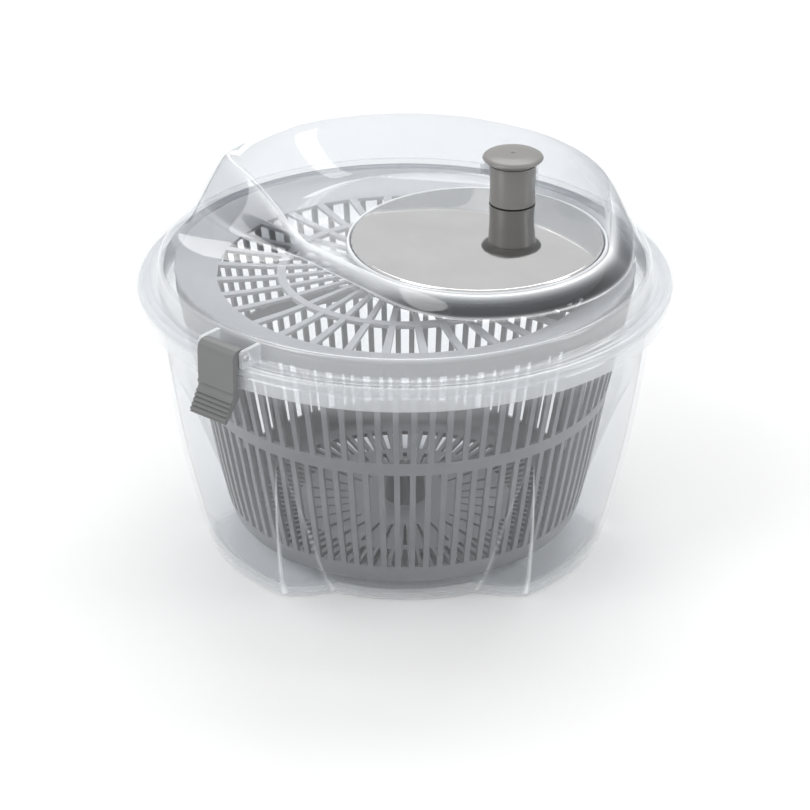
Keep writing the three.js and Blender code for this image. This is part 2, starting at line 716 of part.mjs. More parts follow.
const PINION_SHAFT_Z = 147.4;
const pinionTeeth = prism(gearShape(PINION_TEETH, 180 / PINION_TEETH), ...GEAR_Z);
const pinionShaft = cylinder(4.5, PINION_SHAFT_Z, GEAR_Z[1] - 1);
const pinionStub = cylinder(2.5, GEAR_Z[1] - 1, 159.4);
const pinionBore = cylinder(1.7, PINION_SHAFT_Z - 1, 155.5, FINE);
piece("drive_pinion", union([pinionTeeth, pinionShaft, pinionStub]).subtract(pinionBore), NYLON, lid);
const dogBore = cylinder(4.75, PINION_SHAFT_Z - 0.3, 160);
const dogHole = cylinder(1.8, 140, 160, FINE);
const driveDog = prism(hexagon(DOG_R), ...DOG_Z).subtract(dogBore).subtract(dogHole);
piece("drive_dog", driveDog, BOX_GREY, lid);
piece("drive_screw", screw(3.2, 1.6, 1.4, DOG_Z[0] - 1.9, 155), STEEL, lid);

// ---------------------------------------------------------------- latches

function latch() {
  const outline = polygonShape([
    [134.8, 150.6],
    [134.4, 154],
    [136.2, 156.5],
    [142.4, 157],
    [144.3, 155.6],
    [144.9, 147],
    [144.9, 133],
    [146.4, 130.4],
    [148.8, 127.4],
    [150.6, 124.2],
    [151.8, 121.6],
    [150.2, 120.8],
    [146.4, 126.2],
    [142.6, 130.8],
    [140.4, 132.4],
    [140.4, 134.4],
    [141.6, 135.6],
    [141.6, 147.4],
    [140, 149.4],
    [137, 148.8],
  ]);
  const pinHole = move(cylinder(LATCH_HOLE_R, -LATCH_W, LATCH_W, FINE), LATCH_AXIS.r, LATCH_AXIS.z);
  return prism(outline, -LATCH_W / 2, LATCH_W / 2).subtract(pinHole).rotate([90, 0, 0]);
}

for (const [side, degrees] of Object.entries(LATCH_DEGS)) {
  const corner = new THREE.Group();
  corner.rotation.z = radians(degrees);
  lid.add(corner);
  piece(`latch_${side}`, latch(), LATCH_GREY, corner);
  const pin = cylinder(1.5, -15, 15, FINE).rotate([90, 0, 0]);
  piece(`latch_pin_${side}`, pin, STEEL, corner).position.set(LATCH_AXIS.r, 0, LATCH_AXIS.z);
}

export default spinner;
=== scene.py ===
"""A hand-cranked salad spinner: fine surfaces, finishes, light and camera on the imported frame."""
import math

import bmesh
import bpy
import numpy as np
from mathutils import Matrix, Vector


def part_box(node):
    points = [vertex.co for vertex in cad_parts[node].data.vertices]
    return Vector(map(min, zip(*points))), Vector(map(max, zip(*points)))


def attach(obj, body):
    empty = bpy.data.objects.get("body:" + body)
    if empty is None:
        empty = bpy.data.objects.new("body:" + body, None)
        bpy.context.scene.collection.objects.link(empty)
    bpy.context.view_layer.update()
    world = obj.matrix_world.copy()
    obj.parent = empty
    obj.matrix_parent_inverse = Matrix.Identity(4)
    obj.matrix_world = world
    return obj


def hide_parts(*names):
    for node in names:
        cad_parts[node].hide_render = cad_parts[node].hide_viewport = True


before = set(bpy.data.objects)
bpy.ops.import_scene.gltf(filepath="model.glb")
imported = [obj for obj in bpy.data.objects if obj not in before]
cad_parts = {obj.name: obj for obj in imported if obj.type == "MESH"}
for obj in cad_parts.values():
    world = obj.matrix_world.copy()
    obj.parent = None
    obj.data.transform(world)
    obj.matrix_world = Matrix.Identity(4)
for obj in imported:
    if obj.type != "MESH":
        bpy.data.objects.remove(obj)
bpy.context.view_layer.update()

# Lengths below are in millimetres, heights are above the table. MM turns them into scene units.
MM = 0.001


def top_of(node):
    """The height of the node's highest point."""
    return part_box(node)[1].z / MM


def bottom_of(node):
    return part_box(node)[0].z / MM


def middle_of(node):
    low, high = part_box(node)
    return (low + high) / 2 / MM


def reach_of(node):
    """Half of the node's width."""
    low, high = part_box(node)
    return (high.x - low.x) / 2 / MM


def inner_reach_of(node):
    """How far the node reaches from the spinner's axis on its nearest side."""
    low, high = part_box(node)
    return min(high.x, high.y, -low.x, -low.y) / MM


# ---------------------------------------------------------------- sizes read from the frame

RIM_TOP = top_of("outer_bowl")  # top of the bowl's rim
PARTING = RIM_TOP + 0.15
FLANGE_R = inner_reach_of("outer_bowl") + 0.3
LID_R = inner_reach_of("lid_shell")
CREST_Z = top_of("lid_shell")
CRANK = middle_of("crank_disc")
CRANK_X = CRANK.x
DISC_R = reach_of("crank_disc")
DISC_TOP = top_of("crank_disc")
DISC_LOW = bottom_of("crank_disc")
RECESS_Z = DISC_TOP - 4
KNOB = middle_of("knob_sleeve")
BASKET_R = reach_of("basket")
BASKET_TOP = top_of("basket")
BASKET_LOW = bottom_of("basket")
COVER_TOP = top_of("basket_cover")
COVER_LOW = bottom_of("basket_cover")

# Bowl wall, outside: height, radius on the full sectors, radius in the dents.
BOWL_WALL = [
    (3, 106.9, 90),
    (14, 110.5, 97),
    (24, 112.8, 101.2),
    (45, 117.6, 108.3),
    (66, 121.6, 115.6),
    (88, 125, 124.6),
    (106, 127.4, 127.4),
    (124, 129.3, 129.3),
]
BOWL_T = 2.5
BOWL_FLOOR = 3.2
BOWL_NECK_R = 130.2
BOWL_MOUTH_R = 127.9
BOWL_SKIRT = 7.7
DENTS = 3
# Degrees from a dent's middle to its flat's edge and to its crease: at the base, and where the dent runs out.
DENT_FLAT = (23.5, 30.0)
DENT_END = (36.5, 30.8)
DENT_TOP = 93.0
CREASE_HIGHLIGHT = 0.55  # painted highlight along a dent's creases
CREASE_FADE = (80, 97)  # heights between which that painted highlight fades

LID_T = 2.0
LIP_R = DISC_R + 2.3
RIDGE_R = DISC_R + 4
RIDGE_Z = RECESS_Z + 3.6
RIDGE_NORMAL = 221.9  # degrees: the way the ridge's straight stretch faces
SHELF = 13.0  # width of the ridge's outer slope, and where it is narrowest, by the dome's left end
SHELF_NARROW = 4.5
DOME_RISE = (-15, 21)  # degrees round the crank between which the ridge turns into the dome, and back
DOME_FALL = (158, 186)
CREST_R = 107.0
DOME_FOOT_R = 122.0
DOME_FOOT_Z = PARTING + 24
DECK_Z = PARTING + 14.3
HOLLOW = (13.0, 24.0, 71.0)  # centre and radius of the recess floor's back edge
LID_STEPS = 300  # columns round the lid
WALL_STEPS = 15  # steps up the ridge's inner wall and down its outer one
FOOT_STEP = 0.12  # how far up the outer wall the painted highlight at its foot is, as a share of the wall
EAR_T = 2.2
EAR_OFFSETS = (-14.6, 12.4)  # sideways from a latch's middle to its two ears
LATCH_HALF_WIDTH = 11.8
LATCH_RIBS = 5

LOWER_SLOTS = 84
UPPER_SLOTS = 78
SLOT_BAR = 3.0  # width of the basket's bars between two slots
BASKET_FLOOR_R = 84  # inside it, a bar's width is a share of the pitch
SLOT_PLAN_R = 20  # inside it, the slots' angles stay what they are there
SPOKES = 32
COVER_BAR = 4.4  # width of the cover's bars at its rim
HEX_FLAT = 9.1  # half the width across the flats of the driver's hole


# ---------------------------------------------------------------- mesh helpers

def smoothstep(value, low, high):
    """0 up to low, 1 from high on, smooth between."""
    t = np.clip((value - low) / (high - low), 0, 1)
    return t * t * (3 - 2 * t)


def smooth_min(a, b, blend):
    """The smaller of two values, rounded over where they meet."""
    h = np.clip(0.5 + (b - a) / (2 * blend), 0, 1)
    return b * (1 - h) + a * h - blend * h * (1 - h)


def smooth_path(points, per_span):
    """A curve through the points, with per_span steps between each two of them."""
    points = np.array(points, float)
    padded = np.vstack([2 * points[0] - points[1], points, 2 * points[-1] - points[-2]])
    curve = []
    for k in range(len(points) - 1):
        p0, p1, p2, p3 = padded[k:k + 4]
        for t in np.arange(per_span) / per_span:
            a = 2 * p1 + (p2 - p0) * t
            b = (2 * p0 - 5 * p1 + 4 * p2 - p3) * t ** 2
            c = (3 * p1 - p0 - 3 * p2 + p3) * t ** 3
            curve.append((a + b + c) / 2)
    curve.append(points[-1])
    return np.array(curve)


def fillet(outline, radius, steps):
    """A closed outline with its corners rounded off."""
    points = [np.array(point, float) for point in outline]
    rounded = []
    for i, corner in enumerate(points):
        before = points[i - 1] - corner
        after = points[(i + 1) % len(points)] - corner
        room = min(np.linalg.norm(before), np.linalg.norm(after)) * 0.45
        cut = min(radius, room)
        start = corner + before / np.linalg.norm(before) * cut
        end = corner + after / np.linalg.norm(after) * cut
        for t in np.linspace(0, 1, steps + 1):
            rounded.append(start * (1 - t) ** 2 + 2 * corner * t * (1 - t) + end * t * t)
    return rounded


def polar(r, angles, z):
    """A loop of points at a height, at these angles round the spinner's axis."""
    return np.column_stack([r * np.cos(angles), r * np.sin(angles), np.full(len(angles), z)])


def standing_at(angle):
    """For Shape.extrude: u points outwards at this angle, v upwards, and the offset goes sideways."""
    out = np.array([math.cos(angle), math.sin(angle)])
    across = np.array([-out[1], out[0]])

    def place(u, v, offset):
        spot = out * u + across * offset
        return (spot[0], spot[1], v)

    return place


class Shape:
    """Vertices and faces of one piece, in millimetres, and each vertex's haze with painted highlights, and
    its painted shade, for clear plastic.
    """

    def __init__(self):
        self.vertices = []
        self.faces = []
        self.haze_and_highlight = []
        self.painted_shade = []

    def add_loop(self, loop, haze_and_highlight=0.0, painted_shade=0.0):
        """Add a loop's points and return the number of its first vertex."""
        first = len(self.vertices)
        self.vertices.extend([tuple(point) for point in loop])
        self.haze_and_highlight.extend(np.broadcast_to(haze_and_highlight, len(loop)).tolist())
        self.painted_shade.extend(np.broadcast_to(painted_shade, len(loop)).tolist())
        return first

    def skin(self, loops, joins_itself, looks=None):
        """Quads between each two loops of the same length; looks is each loop's haze with painted highlights,
        and its painted shade.
        """
        count = len(loops[0])
        looks = looks or [(0.0, 0.0)] * len(loops)
        firsts = [self.add_loop(loop, *look) for loop, look in zip(loops, looks, strict=True)]
        pairs = list(zip(firsts, firsts[1:]))
        if joins_itself:
            pairs.append((firsts[-1], firsts[0]))
        for a, b in pairs:
            for i in range(count):
                j = (i + 1) % count
                self.faces.append((a + i, a + j, b + j, b + i))

    def lattice(self, outer, inner, solid):
        """A wall between two stacks of loops, with the cells that solid(row, column) refuses left open."""
        count = len(outer[0])
        rows = len(outer) - 1
        out = [self.add_loop(loop) for loop in outer]
        inn = [self.add_loop(loop) for loop in inner]
        is_solid = [[solid(k, i) for i in range(count)] for k in range(rows)]
        for k in range(rows):
            for i in range(count):
                if not is_solid[k][i]:
                    continue
                j = (i + 1) % count
                self.faces.append((out[k] + i, out[k] + j, out[k + 1] + j, out[k + 1] + i))
                self.faces.append((inn[k] + j, inn[k] + i, inn[k + 1] + i, inn[k + 1] + j))
                if k == 0 or not is_solid[k - 1][i]:
                    self.faces.append((out[k] + j, out[k] + i, inn[k] + i, inn[k] + j))
                if k == rows - 1 or not is_solid[k + 1][i]:
                    self.faces.append((out[k + 1] + i, out[k + 1] + j, inn[k + 1] + j, inn[k + 1] + i))
                if not is_solid[k][i - 1]:
                    self.faces.append((out[k] + i, out[k + 1] + i, inn[k + 1] + i, inn[k] + i))
                if not is_solid[k][j]:
                    self.faces.append((out[k + 1] + j, out[k] + j, inn[k] + j, inn[k + 1] + j))

    def drop_rings(self, rings):
        """Take away the faces between each two loops, given as (first vertex, first vertex, count)."""
        for a, b, count in rings:
            ring = set(range(a, a + count)) | set(range(b, b + count))
            self.faces = [face for face in self.faces if not ring.issuperset(face)]

    def extrude(self, outline, low, high, place, haze_and_highlight=0.0):
        """A closed outline in a plane, between two offsets; place(u, v, offset) gives the point in space."""
        count = len(outline)
        near = self.add_loop([place(u, v, low) for u, v in outline], haze_and_highlight)
        far = self.add_loop([place(u, v, high) for u, v in outline], haze_and_highlight)
        for i in range(count):
            j = (i + 1) % count
            self.faces.append((near + i, near + j, far + j, far + i))
        self.faces.append(tuple(near + i for i in reversed(range(count))))
        self.faces.append(tuple(far + i for i in range(count)))


def circle(r, z, steps, centre):
    angles = np.arange(steps) * 2 * math.pi / steps
    return [(centre[0] + r * math.cos(a), centre[1] + r * math.sin(a), z) for a in angles]


def turn(shape, profile, steps, centre, joins_itself=False):
    """A turned body: the profile's radii and heights, swept round the centre."""
    shape.skin([circle(r, z, steps, centre) for r, z in profile], joins_itself)


def make_piece(name, shape, body, nodes, material, smooth_deg):
    """The shape as a piece that rides a body and replaces CAD nodes; edges over smooth_deg stay sharp."""
    mesh = bpy.data.meshes.new(name)
    vertices = np.array(shape.vertices) * MM
    mesh.from_pydata(vertices.tolist(), [], shape.faces)
    # Two vertex layers: haze with painted highlights, and painted shade.
    if max(shape.haze_and_highlight) > 0:
        for layer, values in (("haze_and_highlight", shape.haze_and_highlight), ("painted_shade", shape.painted_shade)):
            mesh.attributes.new(layer, "FLOAT", "POINT").data.foreach_set("value", values)
    work = bmesh.new()
    work.from_mesh(mesh)
    bmesh.ops.remove_doubles(work, verts=work.verts, dist=2e-6)
    bmesh.ops.recalc_face_normals(work, faces=work.faces)
    work.to_mesh(mesh)
    work.free()
    mesh.shade_smooth()
    mesh.set_sharp_from_angle(angle=math.radians(smooth_deg))
    piece = bpy.data.objects.new(name, mesh)
    bpy.context.scene.collection.objects.link(piece)
    mesh.materials.append(material)
    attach(piece, body)
    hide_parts(*nodes)
    return piece


def soften(piece, width, segments, limit_deg):
    """A small bevel on the edges that are sharper than limit_deg."""
    bevel = piece.modifiers.new("soft_edges", "BEVEL")
    bevel.width = width * MM
    bevel.segments = segments
    bevel.limit_method = "ANGLE"
    bevel.angle_limit = math.radians(limit_deg)
    bevel.harden_normals = True


# ---------------------------------------------------------------- materials

class Nodes:
    """A material's node tree with short calls for adding and joining nodes."""

    def __init__(self, name):
        self.material = bpy.data.materials.new(name)
        self.material.use_nodes = True
        self.tree = self.material.node_tree
        self.tree.nodes.clear()
        self.out = self.add("ShaderNodeOutputMaterial")

    def add(self, kind, **settings):
        node = self.tree.nodes.new(kind)
        for key, value in settings.items():
            setattr(node, key, value)
        return node

    def join(self, source, target):
        self.tree.links.new(source, target)

    def coordinates(self):
        return self.add("ShaderNodeTexCoord").outputs["Object"]

    def noise(self, scale, detail, stretch=(1, 1, 1)):
        mapping = self.add("ShaderNodeMapping")
        mapping.inputs["Scale"].default_value = stretch
        self.join(self.coordinates(), mapping.inputs["Vector"])
        noise = self.add("ShaderNodeTexNoise")
        noise.inputs["Scale"].default_value = scale
        noise.inputs["Detail"].default_value = detail
        self.join(mapping.outputs["Vector"], noise.inputs["Vector"])
        return noise.outputs["Fac"]

    def spread(self, factor, low, high):
        """A factor from 0.3 to 0.7, where noise mostly lies, spread from low to high."""
        ranges = self.add("ShaderNodeMapRange")
        ranges.inputs["From Min"].default_value = 0.3
        ranges.inputs["From Max"].default_value = 0.7
        ranges.inputs["To Min"].default_value = low
        ranges.inputs["To Max"].default_value = high
        self.join(factor, ranges.inputs["Value"])
        return ranges.outputs["Result"]

    def shades(self, factor, dark, light):
        """A noise factor as colours from dark to light."""
        ramp = self.add("ShaderNodeValToRGB")
        ramp.color_ramp.elements[0].position = 0.3
        ramp.color_ramp.elements[0].color = (*dark, 1)
        ramp.color_ramp.elements[1].position = 0.7
        ramp.color_ramp.elements[1].color = (*light, 1)
        self.join(factor, ramp.inputs["Fac"])
        return ramp.outputs["Color"]

    def ramp(self, factor, low, high):
        """A factor from 0 to 1, carried over to the range from low to high."""
        ranges = self.add("ShaderNodeMapRange")
        ranges.inputs["To Min"].default_value = low
        ranges.inputs["To Max"].default_value = high
        self.join(factor, ranges.inputs["Value"])
        return ranges.outputs["Result"]

    def blend(self, factor, colour, other):
        """From a colour socket to a plain colour, as the factor rises."""
        blend = self.add("ShaderNodeMix", data_type="RGBA")
        self.join(factor, blend.inputs[0])
        self.join(colour, blend.inputs[6])
        blend.inputs[7].default_value = (*other, 1)
        return blend.outputs[2]

    def attribute(self, layer):
        return self.add("ShaderNodeAttribute", attribute_name=layer).outputs["Fac"]

    def maths(self, operation, first, second):
        """Arithmetic on a socket and a number or another socket."""
        node = self.add("ShaderNodeMath", operation=operation)
        self.join(first, node.inputs[0])
        if isinstance(second, float):
            node.inputs[1].default_value = second
        else:
            self.join(second, node.inputs[1])
        return node.outputs["Value"]

    def mix(self, factor, first, second):
        """A Mix Shader of two shader nodes, by a number or by a socket."""
        mix = self.add("ShaderNodeMixShader")
        if isinstance(factor, float):
            mix.inputs["Fac"].default_value = factor
        else:
            self.join(factor, mix.inputs["Fac"])
        self.join(first.outputs[0], mix.inputs[1])
        self.join(second.outputs[0], mix.inputs[2])
        return mix

    def bump(self, factor, depth_mm, strength):
        bump = self.add("ShaderNodeBump")
        bump.inputs["Strength"].default_value = strength
        bump.inputs["Distance"].default_value = depth_mm * MM
        self.join(factor, bump.inputs["Height"])
        return bump.outputs["Normal"]


PLASTIC_GRAIN_MM = 0.01
STEEL_LINES_MM = 0.004
PAINTED_SHADE_TINT = (0.12, 0.135, 0.155)  # painted shade: what the walls by the ridge let through, standing in for shade and for the grey drum seen through them
HAZE_AND_HIGHLIGHT_WHITE = (0.97, 0.98, 0.99)  # colour of the plastic where it is painted hazy, and of its painted highlights
THIN_MILK = ((0.56, 0.59, 0.62), (0.7, 0.72, 0.745))  # and where it is milky only at a grazing look
GRAZING_POWER = 4.0
SHINE_POWER = 4.5
SHINE = (0.055, 0.9)  # share of gloss face on and edge on
SHADE = (0.93, 0.935, 0.94, 1)  # what a wall lets through to a lamp


def grey(value, tint=(1, 1, 1)):
    return tuple(value * part for part in tint)


def moulded_plastic(name, colour, roughness):
    """Injection-moulded plastic: a faint cloudiness, uneven gloss and a fine grain."""
    nodes = Nodes(name)
    shader = nodes.add("ShaderNodeBsdfPrincipled")
    cloud = nodes.noise(22, 3)
    light = tuple(min(1, part * 1.06) for part in colour)
    dark = tuple(part * 0.94 for part in colour)
    nodes.join(nodes.shades(cloud, dark, light), shader.inputs["Base Color"])
    smudges = nodes.noise(60, 5)
    nodes.join(nodes.spread(smudges, roughness * 0.88, roughness * 1.12), shader.inputs["Roughness"])
    grain = nodes.noise(2600, 2)
    nodes.join(nodes.bump(grain, PLASTIC_GRAIN_MM, 0.6), shader.inputs["Normal"])
    nodes.join(shader.outputs["BSDF"], nodes.out.inputs["Surface"])
    return nodes.material


def clear_plastic(name, tint, haze_and_highlight, edge_milk, waviness_mm):
    """Clear moulded plastic: see-through face on, milky where it is seen edge on, with a gloss on top."""
    nodes = Nodes(name)
    waves = nodes.bump(nodes.noise(14, 1), waviness_mm, 0.5)

    # Half of what passes through does so as thin film and half as glass that doesn't bend light.
    flow = nodes.shades(nodes.noise(9, 2), grey(0.985, tint), tint)
    # Painted shade from the vertex layer darkens what passes through.
    shaded_flow = nodes.blend(nodes.attribute("painted_shade"), flow, PAINTED_SHADE_TINT)
    film = nodes.add("ShaderNodeBsdfTransparent")
    sheet = nodes.add("ShaderNodeBsdfRefraction")
    sheet.inputs["IOR"].default_value = 1.0
    sheet.inputs["Roughness"].default_value = 0.0
    for shader in (film, sheet):
        nodes.join(shaded_flow, shader.inputs["Color"])
    through = nodes.mix(0.5, film, sheet)

    # The milkiness of the plastic itself, stronger at a grazing look and uneven along the flow, plus the haze
    # and painted highlights of the vertex layer, in white.
    body = nodes.add("ShaderNodeBsdfPrincipled")
    thin = nodes.shades(nodes.noise(6, 3), *THIN_MILK)
    haze_and_highlight_colour = nodes.blend(nodes.attribute("haze_and_highlight"), thin, HAZE_AND_HIGHLIGHT_WHITE)
    nodes.join(haze_and_highlight_colour, body.inputs["Base Color"])
    body.inputs["Roughness"].default_value = 0.35
    facing = nodes.add("ShaderNodeLayerWeight")
    facing.inputs["Blend"].default_value = 0.5
    nodes.join(waves, facing.inputs["Normal"])
    grazing = facing.outputs["Facing"]
    amount = nodes.ramp(nodes.maths("POWER", grazing, GRAZING_POWER), haze_and_highlight, edge_milk)
    uneven = nodes.maths("MULTIPLY", amount, nodes.spread(nodes.noise(18, 3), 0.8, 1.2))
    total = nodes.maths("ADD", uneven, nodes.attribute("haze_and_highlight"))
    total.node.use_clamp = True
    whitened = nodes.mix(total, through, body)

    gloss = nodes.add("ShaderNodeBsdfGlossy")
    gloss.inputs["Color"].default_value = (1, 1, 1, 1)
    nodes.join(nodes.spread(nodes.noise(35, 4), 0.03, 0.09), gloss.inputs["Roughness"])
    nodes.join(waves, gloss.inputs["Normal"])
    shine = nodes.ramp(nodes.maths("POWER", grazing, SHINE_POWER), *SHINE)
    shiny = nodes.mix(shine, whitened, gloss)

    # A face seen from behind only lets light through, and lamps shine through all of them.
    geometry = nodes.add("ShaderNodeNewGeometry")
    wall = nodes.mix(geometry.outputs["Backfacing"], shiny, through)
    shade = nodes.add("ShaderNodeBsdfTransparent")
    shade.inputs["Color"].default_value = SHADE
    path = nodes.add("ShaderNodeLightPath")
    lit = nodes.mix(path.outputs["Is Shadow Ray"], wall, shade)
    nodes.join(lit.outputs["Shader"], nodes.out.inputs["Surface"])
    return nodes.material


def turned_steel(name, value, roughness, lines_mm=STEEL_LINES_MM):
    """Steel with the fine rings that turning or polishing leaves."""
    nodes = Nodes(name)
    shader = nodes.add("ShaderNodeBsdfPrincipled")
    shader.inputs["Metallic"].default_value = 1.0
    patches = nodes.noise(30, 4)
    nodes.join(nodes.shades(patches, grey(value * 0.95), grey(value * 1.04)), shader.inputs["Base Color"])
    nodes.join(nodes.spread(nodes.noise(90, 3), roughness * 0.8, roughness * 1.2), shader.inputs["Roughness"])
    rings = nodes.noise(1500, 2, (0.15, 0.15, 1))
    nodes.join(nodes.bump(rings, lines_mm, 0.5), shader.inputs["Normal"])
    nodes.join(shader.outputs["BSDF"], nodes.out.inputs["Surface"])
    return nodes.material


CLEAR = clear_plastic("clear_plastic", (0.965, 0.972, 0.98), 0.02, 0.75, 0.05)
BASKET_GREY = moulded_plastic("basket_grey", (0.185, 0.187, 0.197), 0.4)
COVER_GREY = moulded_plastic("cover_grey", (0.29, 0.293, 0.305), 0.38)
KNOB_GREY = moulded_plastic("knob_grey", (0.2, 0.195, 0.19), 0.32)
LATCH_GREY = moulded_plastic("latch_grey", (0.158, 0.16, 0.16), 0.42)
BOX_GREY = moulded_plastic("box_grey", (0.33, 0.33, 0.34), 0.45)
NYLON = moulded_plastic("nylon", (0.78, 0.77, 0.72), 0.5)
DISC_METAL = turned_steel("disc_grey", 0.64, 0.05, 0.0006)
STEEL = turned_steel("steel", 0.6, 0.28)


# ---------------------------------------------------------------- bowl

def dent_columns(z):
    """The wall's columns at a height: each one's angle, its depth in a dent, how near it is to a crease."""
    up = min(max(z / DENT_TOP, 0), 1)
    flat = DENT_FLAT[0] + (DENT_FLAT[1] - DENT_FLAT[0]) * up
    end = max(DENT_END[0] + (DENT_END[1] - DENT_END[0]) * up, flat + 0.7)
    half = 180 / DENTS
    side = end - flat
    columns = [(-half + (half - end) * k / 8, 0, 0) for k in range(8)]
    columns += [(-end - side * 0.04, 0, 0), (-end - side * 0.01, 0, 0.6), (-end + side * 0.02, 0.025, 1)]
    columns += [(-end + side * k / 8, (k / 8) ** 1.1, 0) for k in range(1, 8)]
    columns += [(-flat - side * 0.03, 0.98, 0.5), (-flat + side * 0.03, 1, 0)]
    columns += [(-flat + flat * k / 11, 1, 0) for k in range(1, 12)]
    columns += [(-degrees, share, near) for degrees, share, near in columns[-2:0:-1]]
    degrees, shares, nearness = np.array(columns, float).T
    angles = np.concatenate([degrees - 90 + 360 / DENTS * k for k in range(DENTS)])
    return np.radians(angles), np.tile(shares, DENTS), np.tile(nearness, DENTS)


def outer_bowl():
    """The clear bowl: outside, rim and inside as one skin."""

    def loop(full, dent, z):
        angles, share, _ = dent_columns(z)
        return polar(full + (dent - full) * share, angles, z)

    def round_loop(r, z):
        return loop(r, r, z)

    def crease_highlight(z):
        """Painted highlight along each dent's creases, fading where the dent runs out."""
        return CREASE_HIGHLIGHT * dent_columns(z)[2] * float(1 - smoothstep(z, *CREASE_FADE))

    wall = smooth_path([(full, dent, z) for z, full, dent in BOWL_WALL], 5)
    foot = wall[0]
    outside = [round_loop(0, 1.5), round_loop(74, 1.5), round_loop(76, 1.2), round_loop(78, 0)]
    for inset, z in [(6, 0), (3.4, 0), (1.9, 0.35), (0.8, 1.1), (0.25, 2)]:
        outside.append(loop(foot[0] - inset, foot[1] - inset, z))
    # A faint haze on the bottom; along the base's rounded edge a painted highlight and a little painted
    # shade.
    looks = [(0.12, 0.0)] * 4 + [(haze_and_highlight, 0.1) for haze_and_highlight in (0.2, 0.34, 0.5, 0.55, 0.4)]
    outside += [loop(full, dent, z) for full, dent, z in wall]
    for full, dent, z in wall:
        base_milk = 0.3 * float(1 - smoothstep(z, 3, 14))
        looks.append((base_milk + crease_highlight(z), 0.0))
    rim = [
        (BOWL_NECK_R, RIM_TOP - 4.6),
        (BOWL_NECK_R + 0.6, RIM_TOP - 4),
        (FLANGE_R - 3.1, RIM_TOP - 4),
        (FLANGE_R - 2.6, RIM_TOP - 4.5),
        (FLANGE_R - 2.5, RIM_TOP - BOWL_SKIRT + 0.4),
        (FLANGE_R - 2.1, RIM_TOP - BOWL_SKIRT),
        (FLANGE_R - 1.1, RIM_TOP - BOWL_SKIRT),
        (FLANGE_R - 0.6, RIM_TOP - BOWL_SKIRT + 0.5),
        (FLANGE_R - 0.3, RIM_TOP - 0.9),
        (FLANGE_R - 0.9, RIM_TOP),
        (BOWL_MOUTH_R + 0.8, RIM_TOP),
        (BOWL_MOUTH_R, RIM_TOP - 0.8),
    ]
    outside += [round_loop(r, z) for r, z in rim]
    # The rim is hazy, with a little painted shade.
    looks += [(0.4, 0.05)] * len(rim)
    inside = [loop(full - BOWL_T, dent - BOWL_T, z) for full, dent, z in wall[::-1] if z > 9]
    for inset, rise in [(3.5, 3.6), (5, 1.6), (7.2, 0.4), (10, 0)]:
        inside.append(loop(foot[0] - inset, foot[1] - inset, BOWL_FLOOR + rise))
    # The boss in the middle of the floor, which the pivot stands in.
    boss = [(12, BOWL_FLOOR), (9.6, BOWL_FLOOR + 0.5), (9, BOWL_FLOOR + 1.4), (9, 6.6), (8.6, 7), (3.6, 7)]
    boss += [(3.3, 6.7), (3.3, BOWL_FLOOR), (0, BOWL_FLOOR)]
    inside += [round_loop(r, z) for r, z in boss]
    looks += [(0.0, 0.0)] * len(inside)
    shape = Shape()
    shape.skin(outside + inside, False, looks)
    make_piece("bowl_shell", shape, "bowl", ["outer_bowl"], CLEAR, 12)


# ---------------------------------------------------------------- basket

def slot_angles(r, slots, bar):
    """Angles of the slots' two edges at a radius, with bar millimetres between two slots."""
    pitch = 2 * math.pi / slots
    half = max(pitch / 2 - bar / 2 / r, pitch * 0.2)
    middles = -math.pi / 2 + np.arange(slots) * pitch
    return np.column_stack([middles - half, middles + half]).ravel()


def zip_loops(shape, first, first_count, second, second_count, first_angles, second_angles, flip):
    """Triangles between two loops of different counts, each running once round; flip turns them over."""
    i = j = 0
    while i < first_count or j < second_count:
        next_i = first_angles[i % first_count] + 2 * math.pi * (i // first_count)
        next_j = second_angles[j % second_count] + 2 * math.pi * (j // second_count)
        step_first = j >= second_count or (i < first_count and next_i <= next_j)
        a = first + (i - 1) % first_count
        b = second + (j - 1) % second_count
        if step_first:
            face = (a, first + i % first_count, b)
            i += 1
        else:
            face = (a, second + j % second_count, b)
            j += 1
        shape.faces.append(face[::-1] if flip else face)


def basket_tier(shape, rows, slots, is_open):
    """One stack of wall from rows of (outer r, z) and (inner r, z), open where is_open(row, slot) says so."""
    outer_loops = []
    inner_loops = []
    for (r, z), (inner_r, inner_z) in rows:
        plan_r = max(r, SLOT_PLAN_R)
        bar = SLOT_BAR if r > BASKET_FLOOR_R else plan_r * 2 * math.pi / slots * 0.45
        angles = slot_angles(plan_r, slots, bar)
        outer_loops.append(polar(r, angles, z))
        inner_loops.append(polar(inner_r, angles, inner_z))

    def solid(row, column):
        is_bar = column % 2 == 1
        return is_bar or not is_open(row, column // 2)

    first_vertex = len(shape.vertices)
    shape.lattice(outer_loops, inner_loops, solid)
    return first_vertex, len(outer_loops), 2 * slots


